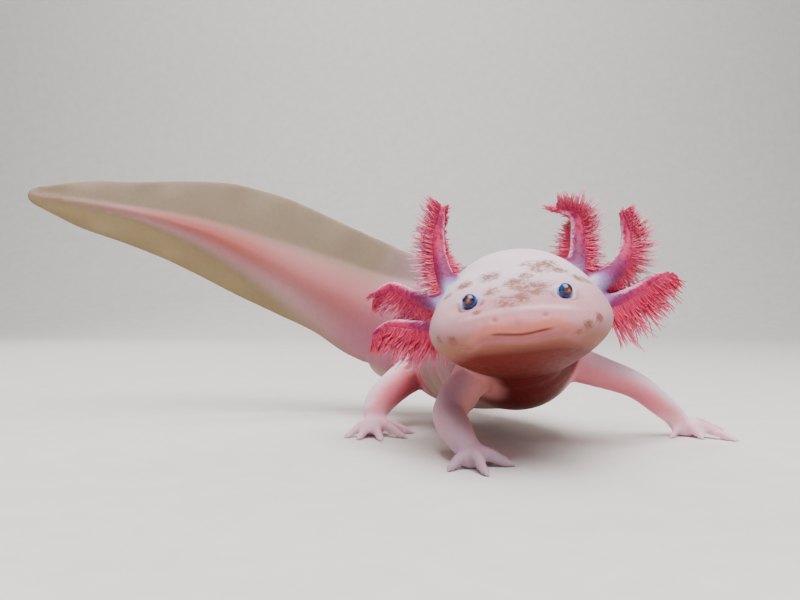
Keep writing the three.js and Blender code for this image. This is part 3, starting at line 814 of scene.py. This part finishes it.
# forward, left and up on the head, and how wide the cluster spreads
FRECKLES = [
    (-0.8, -12.8, 9.4, 1.8), (-0.4, -6.4, 10.8, 2.2), (8.2, -6.1, 6.6, 1.8), (6, 0.4, 7.9, 2.7),
    (8.5, 3.9, 6.7, 3.5), (15.5, -2.5, 3.8, 2.5), (14.2, 0.7, 4.5, 2.1), (-2.7, 6.6, 11.9, 2.8),
    (-4.8, 9, 12.6, 2.4), (-2.2, 11.7, 10.5, 1.8), (-0.4, 16.1, 7.9, 1.8), (-0.9, 18, 6.9, 1.4),
    (17.1, -9.7, 2, 1), (-0.4, -17.7, 6.9, 1.2), (13, -19.8, -3.6, 1), (16.7, -16.2, -4.4, 1.3),
    (17.1, -13.5, -6.3, 1.5), (18.3, 13, -5.4, 0.9), (17.6, 15.3, -3.8, 1.3),
    (15.1, 18.2, -2.5, 1.2), (1.6, 3, 9.9, 1.6), (-4.6, 3.4, 12.9, 1.4), (12, 4.6, 5.2, 1.6),
]


def trunk_coats(points):
    """Coats of colour for trunk and tail, each with how much of it lies on every point."""
    share, gap, _, height, flesh, reach = on_spine(points)
    yield BACK, 0.8 * smooth(height, 2, 18) * smooth(share, 0.1, 0.3)
    yield BELLY, smooth(-height, 2, 14)
    behind = smooth(share, 0.26, 0.44) * fade(gap - reach, 0, 3)
    yield MAUVE, behind * fade(share, 0.48, 0.66)
    depth = np.abs(height) / flesh
    edge = 0.4 + 0.35 * (height < 0) * fade(share, 0.55, 0.7)
    fin = np.where((height < 0)[:, None], LOW_FIN, FIN)
    fin = fin + (LILAC - fin) * fade(share, 0.4, 0.54)[:, None]
    at_tip = smooth(share, 0.78, 0.97)
    yield fin, behind * np.maximum(smooth(depth, edge, edge + 0.9), 0.85 * at_tip)
    # the core's colour is centred a little above the spine, so its upper side is painted deeper:
    # painted shade against the highlight there
    lift = np.abs(height / flesh - 0.22)
    core = behind * smooth(share, 0.42, 0.56) * fade(lift, 0.15, 1.2)
    yield CORE, core * (0.75 + 0.25 * smooth(share, 0.6, 0.75)) * (1 - 0.9 * at_tip)
    # painted shade under the neck: the chest takes the throat's dark red
    shaded_chest = smooth(-height, 0, 8) * fade(share, 0.09, 0.2)
    yield THROAT_TONE_AND_SHADE, 0.85 * shaded_chest * fade(gap - reach, 0, 7)


def head_coats(points):
    forward, left, up = head_axes(points)
    aside = np.abs(left)
    head = on_head(points)
    yield CROWN, smooth(forward, -38, -14) * fade(aside, 22, 26) * smooth(up, 2, 12)
    front = smooth(forward, 12, 18) * (1 - 0.6 * smooth(aside, 5, 15))
    low_front = 0.85 * hump(up, -0.4, 2.6) * front
    between_eyes = 0.3 * smooth(forward, 8, 14) * smooth(-up, -8, -2) * fade(aside, 9, 15)
    yield SNOUT, head * np.maximum(low_front, between_eyes)
    # a painted highlight along the snout's rim, brighter on the animal's left
    line = hump(up - snout_rim(left), 0.1, 0.55) * fade(aside, 10, 16)
    yield RIM_HIGHLIGHT, head * line * smooth(forward, 12, 18) * (0.22 + 0.15 * smooth(left, -4, 4))
    # the lower jaw's peach with painted shade below the mouth
    rising = np.where(left > 0, 0.11, 0.05) * aside
    yield JAW_TONE_AND_SHADE, 0.9 * head * smooth(-up - rising, 0, 5) * smooth(forward, -12, 4)
    # painted shade: the underside of jaw and throat takes the dark throat red
    under = smooth(-up, 5.6, 9.4) * fade(aside, 9, 21) + smooth(-up, 8, 13)
    under *= smooth(forward, -34, -18) * (aside < 26) * (up > -27)
    yield THROAT_TONE_AND_SHADE, 0.92 * np.minimum(under, 1)
    above = up - mouth_edge(left)
    middle = head * fade(aside, 7.5, 16.5) * smooth(forward, 7, 16)
    yield LIP, 0.95 * middle * hump(above, 0.9, 1.7)
    yield LOWER_LIP, 0.9 * middle * hump(above, -1.4, 0.8)
    # painted shade along the mouth's slit, fading towards the corners
    slit_shade = hump(above, -0.1, 0.33) * head * smooth(forward, 6, 11)
    yield CREASE_SHADE, slit_shade * (0.85 - 0.8 * smooth(aside, 5, 8.2))
    yield from eye_coats(points)
    # painted shade in each nostril's pit
    yield CREASE_SHADE, 0.3 * head * hump(nostril_gap(left, up), 0, 0.45) * (forward > 14)


def eye_coats(points):
    """A pale ring round each eye, and painted pink shade in the crease below it."""
    for side in EYE_SIDES.values():
        forward, _, up = head_axes(points, eye_place(side))
        gap = distance(points, eye_place(side))
        yield EYE_HALO, 0.8 * hump(gap, 2.0, 0.8)
        # painted shade in the crease below the eye
        lower = smooth(forward - up, 0.3, 2.4) * (gap < 5)
        yield EYE_CREASE_SHADE, 0.75 * lower * hump(gap, 3.45, 0.45)


def limb_coats(points, out, name, limb):
    # the right foreleg takes the copy darkened as painted shade
    flesh, top, flush_and_shade, hand = SHADED_LIMB_TONES if name == "foreleg_right" else LIMB_TONES
    at, gap, _, _ = on_line(points, limb["joints"], 120)
    radius = between(limb["joints"], at)[:, 3]
    own = fade(gap / radius, 1.2, 2.1) * smooth(at, 0.06, limb["fade"])
    toward = out @ unit(np.array(limb["pale"]))
    yield flesh, own
    # painted shade: the underside away from the lit side, reddened and darkened about the limb's
    # middle
    low = hump(at, 0.5, 0.34) * fade(toward, -0.8, 0.25)
    yield flush_and_shade, limb["flush_and_shade"] * own * low
    # painted highlight on the lit side
    lit_side = 0.95 * smooth(toward, -0.2, 0.85) * (0.65 + 0.35 * smooth(at, 0.15, 0.5))
    yield top, own * lit_side
    palm = distance(points[:, :2], limb["palm"])
    yield hand, 0.9 * fade(points[:, 2], 2, 10) * fade(palm, HAND_REACH, HAND_REACH + 3)


def on_gill(points, gill):
    """Share along a stalk, its direction, how much a point is the gill's, and how far ahead."""
    at, gap, _, _ = on_line(points, gill["stalk"], 120)
    middle, along, facing, _ = gill_axes(gill, at)
    radius = between(gill["stalk"], at)[:, 3]
    ahead = ((points - middle) * facing).sum(1) / radius
    web = (WEB_REACH - 1) * (ahead > 0) * smooth(at, 0.08, 0.16)
    return at, along, fade(gap / radius - web, 1.2, 1.7), ahead


def gill_coats(points, out, gill):
    """A stalk: bluish at its root, crimson beyond, with a pale edge away from its threads."""
    at, along, own, ahead = on_gill(points, gill)
    root = distance(points, between(gill["stalk"], 0.12)[:3])
    yield EYE_HALO, 0.7 * hump(root, 0, 4.6)
    yield GILL_BASE, own * smooth(at, 0.02, 0.12)
    ripe = at + 0.3 * smooth(ahead, -0.9, 0.4)
    yield GILL_DARK, own * 0.85 * smooth(ripe, 0.08, 0.26)
    yield GILL_RED, own * 0.85 * smooth(ripe, 0.3, 0.7)
    edge = unit(np.array(gill["edge"], float))
    edge = unit(edge - along * (along @ edge)[:, None])
    pale = GILL_BASE + (GILL_EDGE - GILL_BASE) * smooth(at, 0.12, 0.4)[:, None]
    toward = (out * edge).sum(1)
    yield pale, own * 0.9 * smooth(toward, 0.8, 1.0) * fade(at, 0.85, 1)


def painted(points, out):
    """The skin's ground colour at every point, coat over coat, before its material's mottling."""
    forms = [trunk_coats(points), head_coats(points)]
    forms += [limb_coats(points, out, name, limb) for name, limb in LIMBS.items()]
    forms += [gill_coats(points, out, gill) for gill in GILLS.values()]
    colours = np.tile(PALE, (len(points), 1))
    for coats in forms:
        for colour, share in coats:
            colours = colours + (colour - colours) * np.clip(share, 0, 1)[:, None]
    return colours


def freckled(points):
    """How much each point lies in a cluster of freckles."""
    own = np.stack(head_axes(points), -1)
    amount = 0.3 * hump(distance(own, (4, 1.5, 8.5)), 0, 11)
    for *middle, width in FRECKLES:
        stretch = (0.65 if middle[0] > 5 and middle[2] > 3 else 0.9, 0.9, 1)
        gap = np.linalg.norm((own - np.array(middle)) * stretch, axis=1)
        amount = np.maximum(amount, hump(gap, 0, 1.25 * width))
    return amount


def veined(points):
    """How strongly the fine dark veins of the gills show."""
    places = [on_gill(points, gill) for gill in GILLS.values()]
    return np.max([own * smooth(at, 0.06, 0.3) for at, _, own, _ in places], 0)


def finned(points):
    """How much each point lies on a thin fin."""
    share, _, aside, height, flesh, _ = on_spine(points, 400)
    return smooth(np.abs(height) / flesh, 0.7, 1.2) * smooth(share, 0.24, 0.4) * (np.abs(aside) < 4)


def give_colours(mesh, name, colours):
    layer = mesh.attributes.new(name, "FLOAT_COLOR", "POINT")
    rows = np.pad(colours, ((0, 0), (0, 1)), constant_values=1)
    layer.data.foreach_set("color", rows.astype(np.float32).ravel())


def give_numbers(mesh, name, values):
    layer = mesh.attributes.new(name, "FLOAT", "POINT")
    layer.data.foreach_set("value", np.asarray(values, np.float32))


# ---- Materials ----


def add(tree, kind, inputs, **settings):
    """A shader node with its settings, and with its inputs linked or set."""
    made = tree.nodes.new("ShaderNode" + kind)
    for name, value in settings.items():
        setattr(made, name, value)
    for name, value in inputs.items():
        if isinstance(value, bpy.types.NodeSocket):
            tree.links.new(value, made.inputs[name])
        else:
            made.inputs[name].default_value = value
    return made


def mixed(tree, share, first, second, way="MIX"):
    inputs = {0: share, 6: first, 7: second}
    return add(tree, "Mix", inputs, data_type="RGBA", blend_type=way).outputs[2]


def sums(tree, kind, first, second):
    return add(tree, "Math", {0: first, 1: second}, operation=kind).outputs[0]


def ranged(tree, value, low, high, to_low=0.0, to_high=1.0):
    inputs = {0: value, 1: low, 2: high, 3: to_low, 4: to_high}
    return add(tree, "MapRange", inputs, interpolation_type="SMOOTHSTEP").outputs[0]


def noise(tree, where, scale, detail=3.0, roughness=0.55):
    inputs = {"Vector": where, "Scale": scale, "Detail": detail, "Roughness": roughness}
    return add(tree, "TexNoise", inputs).outputs["Fac"]


def bumped(tree, height):
    inputs = {"Strength": 0.3, "Distance": 0.0001, "Height": height}
    return add(tree, "Bump", inputs).outputs[0]


def carried(tree, name, output="Fac"):
    """A value that the mesh carries at its points."""
    return add(tree, "Attribute", {}, attribute_name=name).outputs[output]


def paint(red, green, blue):
    """A tone with the fourth number that a colour socket takes."""
    return (*tone(red, green, blue), 1)


def new_material(name, looks):
    """A material whose surface has the inputs that looks(tree, where) gives."""
    made = bpy.data.materials.new(name)
    made.use_nodes = True
    tree = made.node_tree
    tree.nodes.clear()
    where = add(tree, "TexCoord", {}).outputs["Object"]
    surface = add(tree, "BsdfPrincipled", looks(tree, where))
    add(tree, "OutputMaterial", {"Surface": surface.outputs[0]})
    return made


def mottled(tree, where, tint, middle):
    """The tint flushed in broad patches and bleached in small ones."""
    broad = noise(tree, where, 90.0, 2.0)
    flushed = mixed(tree, 0.3, tint, (0.9, 0.66, 0.66, 1), "MULTIPLY")
    colour = mixed(tree, ranged(tree, broad, 0.4, 0.7, 0, 0.35), tint, flushed)
    bleached = mixed(tree, 1.0, colour, (1.12, 1.1, 1.1, 1), "MULTIPLY")
    return mixed(tree, ranged(tree, middle, 0.35, 0.7, 0, 0.6), colour, bleached)


def freckles_on(tree, where, colour):
    """Ragged brown specks, thicker in the middle of each cluster, over a faint brown wash."""
    freckle = carried(tree, "freckle")
    inputs = {0: where, 1: (0.7, 0.8, 1)}
    drawn = add(tree, "VectorMath", inputs, operation="MULTIPLY").outputs[0]
    speck = noise(tree, drawn, 1600.0, 3.0, 0.7)
    blotch = noise(tree, drawn, 430.0, 2.0)
    ragged = sums(tree, "ADD", speck, ranged(tree, blotch, 0.3, 0.7, -0.1, 0.1))
    denser = sums(tree, "ADD", ragged, sums(tree, "MULTIPLY", freckle, 0.22))
    dense = ranged(tree, freckle, 0.04, 0.7, 0, 0.9)
    stain = sums(tree, "MULTIPLY", ranged(tree, denser, 0.46, 0.8), dense)
    colour = mixed(tree, ranged(tree, freckle, 0.3, 1.0, 0, 0.3), colour, paint(172, 118, 104))
    return mixed(tree, stain, colour, paint(136, 78, 66))


def skin_looks(tree, where):
    middle = noise(tree, where, 700.0, 4.0)
    fine = noise(tree, where, 1500.0, 3.0, 0.6)
    colour = mottled(tree, where, carried(tree, "tint", "Color"), middle)
    colour = freckles_on(tree, where, colour)
    veins = ranged(tree, noise(tree, where, 800.0, 3.0, 0.65), 0.46, 0.62, 0, 0.75)
    veins = sums(tree, "MULTIPLY", carried(tree, "vein"), veins)
    return {
        "Base Color": mixed(tree, veins, colour, paint(112, 16, 74)),
        "Normal": bumped(tree, sums(tree, "ADD", fine, sums(tree, "MULTIPLY", middle, 2.0))),
        "Roughness": ranged(tree, middle, 0.3, 0.7, 0.48, 0.6),
        "Specular IOR Level": 0.22,
        "Subsurface Weight": ranged(tree, carried(tree, "fin"), 0, 1, 0.4, 0.05),
        "Subsurface Radius": (1.0, 0.38, 0.3),
        "Subsurface Scale": 0.0025,
    }


def thread_looks(tree, where):
    """Deep red at a thread's root, pink to pale pink at its tip."""
    reach = carried(tree, "reach")
    fine = noise(tree, where, 900.0, 2.0)
    colour = mixed(tree, carried(tree, "depth"), paint(184, 10, 58), paint(212, 42, 94))
    colour = mixed(tree, ranged(tree, reach, 0.15, 0.6), colour, paint(226, 94, 132))
    colour = mixed(tree, ranged(tree, reach, 0.5, 0.95), colour, paint(236, 162, 186))
    dark = ranged(tree, fine, 0.4, 0.75, 0, 0.3)
    return {
        "Base Color": mixed(tree, dark, colour, paint(170, 10, 50)),
        "Normal": bumped(tree, fine),
        "Roughness": ranged(tree, fine, 0.2, 0.8, 0.4, 0.55),
        "Subsurface Weight": 0.5,
        "Subsurface Radius": (1.0, 0.3, 0.3),
        "Subsurface Scale": 0.001,
    }


def eye_looks(tree, where):
    """Rings from the middle of the gaze outwards: a coppery painted reflection in the pupil, near
    black, flecked blue, pale rim.
    """
    fleck = noise(tree, where, 4200.0, 3.0)
    away = sums(tree, "ADD", carried(tree, "off_axis"), ranged(tree, fleck, 0, 1, -0.04, 0.04))
    # a painted reflection of warm light in the dark pupil
    pupil_reflection = mixed(tree, ranged(tree, away, 0.02, 0.2), paint(190, 100, 72), paint(90, 42, 44))
    navy = mixed(tree, ranged(tree, fleck, 0.42, 0.62), paint(12, 20, 44), paint(30, 50, 88))
    blue = mixed(tree, ranged(tree, fleck, 0.4, 0.65), paint(20, 46, 104), paint(62, 98, 164))
    colour = mixed(tree, ranged(tree, away, 0.24, 0.33), pupil_reflection, navy)
    colour = mixed(tree, ranged(tree, away, 0.46, 0.62), colour, blue)
    colour = mixed(tree, ranged(tree, away, 0.86, 1.0), colour, paint(190, 200, 232))
    return {"Base Color": colour, "Roughness": 0.25, "Coat Weight": 0.6, "Coat Roughness": 0.08}


def floor_looks(tree, where):
    grain = ranged(tree, noise(tree, where, 90.0, 4.0), 0.3, 0.7)
    colour = mixed(tree, grain, paint(222, 220, 216), paint(228, 226, 223))
    return {"Base Color": colour, "Roughness": 0.7}


# ---- Pieces ----


def finished(name, mesh, material):
    """An object with a smooth mesh and its material."""
    mesh.polygons.foreach_set("use_smooth", [True] * len(mesh.polygons))
    mesh.materials.append(material)
    return placed(name, mesh)


def shown(name, mesh, material, slot, *nodes):
    """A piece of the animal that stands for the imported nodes."""
    piece = finished(name, mesh, material)
    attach(piece, "root")
    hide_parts(*nodes)
    return piece


THREAD_SIDES = 4
THREAD_RINGS = 9
# how many threads stand in a row, their length and thickness as shares, and how far they fan out
THREAD_LAYERS = [(200, 0.5, 1.15, 1.15), (130, 0.82, 0.95, 1.05), (95, 1.1, 0.85, 1.0)]
THREAD_RADIUS = 0.26
CLUMP = 3  # threads that lean together
PATCH = 0.003  # side of a thread's place on the map


def thread_points(roots, starts, bends, hooks, lengths, radii):
    """Rings of points along bent, tapering threads: (thread, ring, corner, xyz)."""
    share = np.linspace(0, 1, THREAD_RINGS)[:, None]
    path = starts[:, None] * share + bends[:, None] * share**2 + hooks[:, None] * share**4
    line = roots[:, None] + lengths[:, None, None] * path
    across = unit(np.cross(starts, bends + np.array([0.011, 0.017, 0.013])))
    phase = rng.uniform(0, 2 * math.pi, (len(roots), 1, 1))
    wave = rng.uniform(0.08, 0.32, (len(roots), 1, 1)) * share
    line = line + across[:, None] * wave * np.sin(share * 6.5 + phase)
    along = unit(np.gradient(line, axis=1))
    side = unit(np.cross(along, along.mean(1, keepdims=True) + np.array([0.3, -0.2, 0.5])))
    rise = np.cross(side, along)
    turn = np.arange(THREAD_SIDES) / THREAD_SIDES * 2 * math.pi
    taper = radii[:, None] * (1 - 0.35 * share[:, 0] ** 1.5)
    taper[:, -1] *= 0.6
    ring = np.cos(turn)[:, None] * side[:, :, None] + np.sin(turn)[:, None] * rise[:, :, None]
    return line[:, :, None] + ring * taper[:, :, None, None]


def thread_layer(gill, count, long, thick, fan):
    """One pair of rows of threads along a stalk: their points, places along it and rows."""
    row = np.repeat([-1.0, 1.0], count)
    order = np.tile((np.arange(count) + 0.5) / count, 2)
    order = np.clip(order + rng.normal(0, 0.3 / count, len(order)), 0, 1)
    share = THREAD_START + (1 - THREAD_START) * 0.99 * order
    middle, along, facing, sideways = gill_axes(gill, share)
    angle = row * math.atan(gill["spread"]) * fan * rng.uniform(0.75, 1.1, len(row))
    out = np.cos(angle)[:, None] * facing + np.sin(angle)[:, None] * sideways
    clump = rng.normal(0, 0.06, (len(row) // CLUMP + 1, 3))[np.arange(len(row)) // CLUMP]
    lean = along * (TIP_LEAN * order**2)[:, None]
    out = unit(out + lean + clump + rng.normal(0, 0.04, out.shape))
    radius = between(gill["stalk"], share)[:, 3]
    reach = gill["length"] * (1 - (1 - gill["tip"]) * order**2) * long
    reach *= gill["root"] + (1 - gill["root"]) * smooth(order, 0, 0.2)
    reach *= rng.uniform(0.8, 1.05, len(row))
    roots = middle + sideways * (row * radius * 0.8)[:, None]
    curl = unit(along * 0.8 - facing * 0.2 + clump * 3 + rng.normal(0, 0.14, out.shape))
    bends = curl * rng.uniform(0.1, 0.32, (len(row), 1))
    hooks = unit(rng.normal(0, 1, out.shape) + along * 0.6) * rng.uniform(0.0, 0.2, (len(row), 1))
    radii = THREAD_RADIUS * thick * rng.uniform(0.85, 1.15, len(row))
    lengths = np.maximum(reach - radius * 0.3, 1)
    spots = thread_points(roots, out - bends * 0.5, bends, hooks, lengths, radii)
    return spots, order, row, lengths / gill["length"]


def gill_threads(gill):
    """Rows of fine threads along a gill's stalk, as one mesh."""
    layers = [thread_layer(gill, *layer) for layer in THREAD_LAYERS]
    spots, order, row, long = (np.concatenate(parts) for parts in zip(*layers))
    count = len(row)
    index = np.arange(spots[..., 0].size).reshape(spots.shape[:3])
    after = np.roll(index, -1, 2)
    walls = np.stack([index[:, :-1], after[:, :-1], after[:, 1:], index[:, 1:]], -1)
    faces = np.concatenate([walls.reshape(-1, 4), index[:, -1], index[:, 0, ::-1]])
    mesh = bpy.data.meshes.new("threads")
    mesh.from_pydata(row_frame(spots.reshape(-1, 3)).tolist(), [], faces.tolist())
    # threads pale to pink along their length, more slowly on the low stalks: painted shade
    reach = np.linspace(0, gill["paling_and_shade"], THREAD_RINGS)[None, :, None] * long[:, None, None]
    give_numbers(mesh, "reach", np.broadcast_to(reach, spots.shape[:3]).ravel())
    give_numbers(mesh, "depth", np.repeat(rng.uniform(0, 1, count), THREAD_RINGS * THREAD_SIDES))
    lay_patches(mesh, order, row)
    return mesh


def lay_patches(mesh, order, row):
    """A map on which each thread is a small patch at its root's place along the stalk."""
    corners = read(mesh.loops, "vertex_index", 1, int)[:, 0]
    thread, ring, side = np.unravel_index(corners, (len(row), THREAD_RINGS, THREAD_SIDES))
    u = 0.02 + 0.95 * order[thread] + PATCH * side / THREAD_SIDES
    v = 0.5 + 0.2 * row[thread] + PATCH * ring / THREAD_RINGS
    layer = mesh.uv_layers.new(name="OFBake")
    layer.data.foreach_set("uv", np.stack([u, v], -1).astype(np.float32).ravel())


EYE_GAZE = {"eye_right": (-0.29, -0.95, 0.12), "eye_left": (0.33, -0.94, 0.03)}
CORNEA_RISE = 0.04  # how far the cornea stands out, in eye radii
CORNEA_WIDTH = 0.5


def eye_mesh(name, side):
    """An eyeball turned to its gaze, with a domed cornea; off_axis is 1 a quarter turn away."""
    form = bmesh.new()
    bmesh.ops.create_uvsphere(form, u_segments=40, v_segments=32, radius=1)
    turn = Vector(EYE_GAZE[name]).normalized().to_track_quat("Z", "Y")
    middle = Vector(eye_place(side))
    off = [math.acos(max(-1, min(1, v.co.z))) / (math.pi / 2) for v in form.verts]
    for vertex, away in zip(form.verts, off):
        bulge = 1 + CORNEA_RISE * math.exp(-((away / CORNEA_WIDTH) ** 2))
        vertex.co = Vector(row_frame(middle + turn @ vertex.co * (EYE_RADIUS * bulge)))
    mesh = mesh_from(form, name)
    give_numbers(mesh, "off_axis", off)
    return mesh


skin_mesh = made_skin()
skin_points = points_of(skin_mesh)
give_colours(skin_mesh, "tint", painted(skin_points, normals_of(skin_mesh)))
for name, amount in (("freckle", freckled), ("fin", finned), ("vein", veined)):
    give_numbers(skin_mesh, name, amount(skin_points))
fleshy = [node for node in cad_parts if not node.startswith("eye_")]
shown("skin", skin_mesh, new_material("skin", skin_looks), "skin", *fleshy)

threads = new_material("gill_thread", thread_looks)
for name, gill in GILLS.items():
    shown(f"threads_of_{name}", gill_threads(gill), threads, "gill", name)

eyes = new_material("eye", eye_looks)
for name, side in EYE_SIDES.items():
    shown(f"{name}_ball", eye_mesh(name, side), eyes, "eye", name)

# ---- Floor, light and camera ----


# in metres, apart from the camera's place, which is in the animal's own frame
FLOOR_HALF_WIDTH = 1.6
FLOOR_FRONT = -1.2
CURVE_START = 0.6  # where the floor begins to rise behind the animal
CURVE_RADIUS = 0.4
BACKDROP_TOP = 1.6
# name, place, aim, size, watts and colour
LIGHTS = [
    ("overhead", (0.1, -0.24, 0.62), (0, 0, 0.03), 0.5, 9, (1, 0.98, 0.97)),
    ("front", (-0.15, -0.8, 0.4), (0.02, 0, 0.04), 0.5, 1.1, (0.97, 0.97, 1)),
    ("behind", (-0.3, 0.5, 0.4), (0, 0, 0.05), 0.3, 1.4, (1, 0.97, 0.93)),
    ("backdrop", (0, 0.25, 1.0), (0, 1.0, 0.45), 0.6, 8, (1, 0.99, 0.97)),
]
CAMERA_PLACE = (0, -250, 41.25)
CAMERA_LENS = CAMERA_SENSOR = 36  # millimetres


def studio_floor():
    """A floor that curves up into a backdrop behind the animal."""
    turns = np.linspace(0.05, math.pi / 2, 24)
    curve = [(CURVE_START + CURVE_RADIUS * math.sin(turn), CURVE_RADIUS * (1 - math.cos(turn)))
             for turn in turns]
    profile = [(FLOOR_FRONT, 0), (CURVE_START, 0), *curve]
    profile.append((CURVE_START + CURVE_RADIUS, BACKDROP_TOP))
    form = bmesh.new()
    near, far = (
        [form.verts.new((x, y, z)) for y, z in profile]
        for x in (-FLOOR_HALF_WIDTH, FLOOR_HALF_WIDTH)
    )
    for i in range(len(profile) - 1):
        form.faces.new((near[i], far[i], far[i + 1], near[i + 1]))
    material = new_material("floor", floor_looks)
    floor = finished("floor", mesh_from(form, "floor"), material)


def area_light(name, place, aim, size, watts, colour):
    data = bpy.data.lights.new(name, "AREA")
    data.size, data.energy, data.color = size, watts, colour
    lamp = placed(name, data)
    lamp.location = place
    lamp.rotation_euler = (Vector(aim) - Vector(place)).to_track_quat("-Z", "Y").to_euler()


def dim_world():
    """Faint bluish light from all sides."""
    world = bpy.data.worlds.new("world")
    world.use_nodes = True
    ground = world.node_tree.nodes["Background"]
    ground.inputs["Color"].default_value = (0.82, 0.84, 0.88, 1)
    ground.inputs["Strength"].default_value = 0.13
    bpy.context.scene.world = world


def level_camera():
    """A camera low before the animal's face, looking straight back."""
    data = bpy.data.cameras.new("camera")
    data.lens, data.sensor_width, data.clip_start = CAMERA_LENS, CAMERA_SENSOR, 0.01
    camera = placed("camera", data)
    camera.location = row_frame(CAMERA_PLACE)
    camera.rotation_euler = (math.pi / 2, 0, 0)
    bpy.context.scene.camera = camera


studio_floor()
for light in LIGHTS:
    area_light(*light)
dim_world()
level_camera()
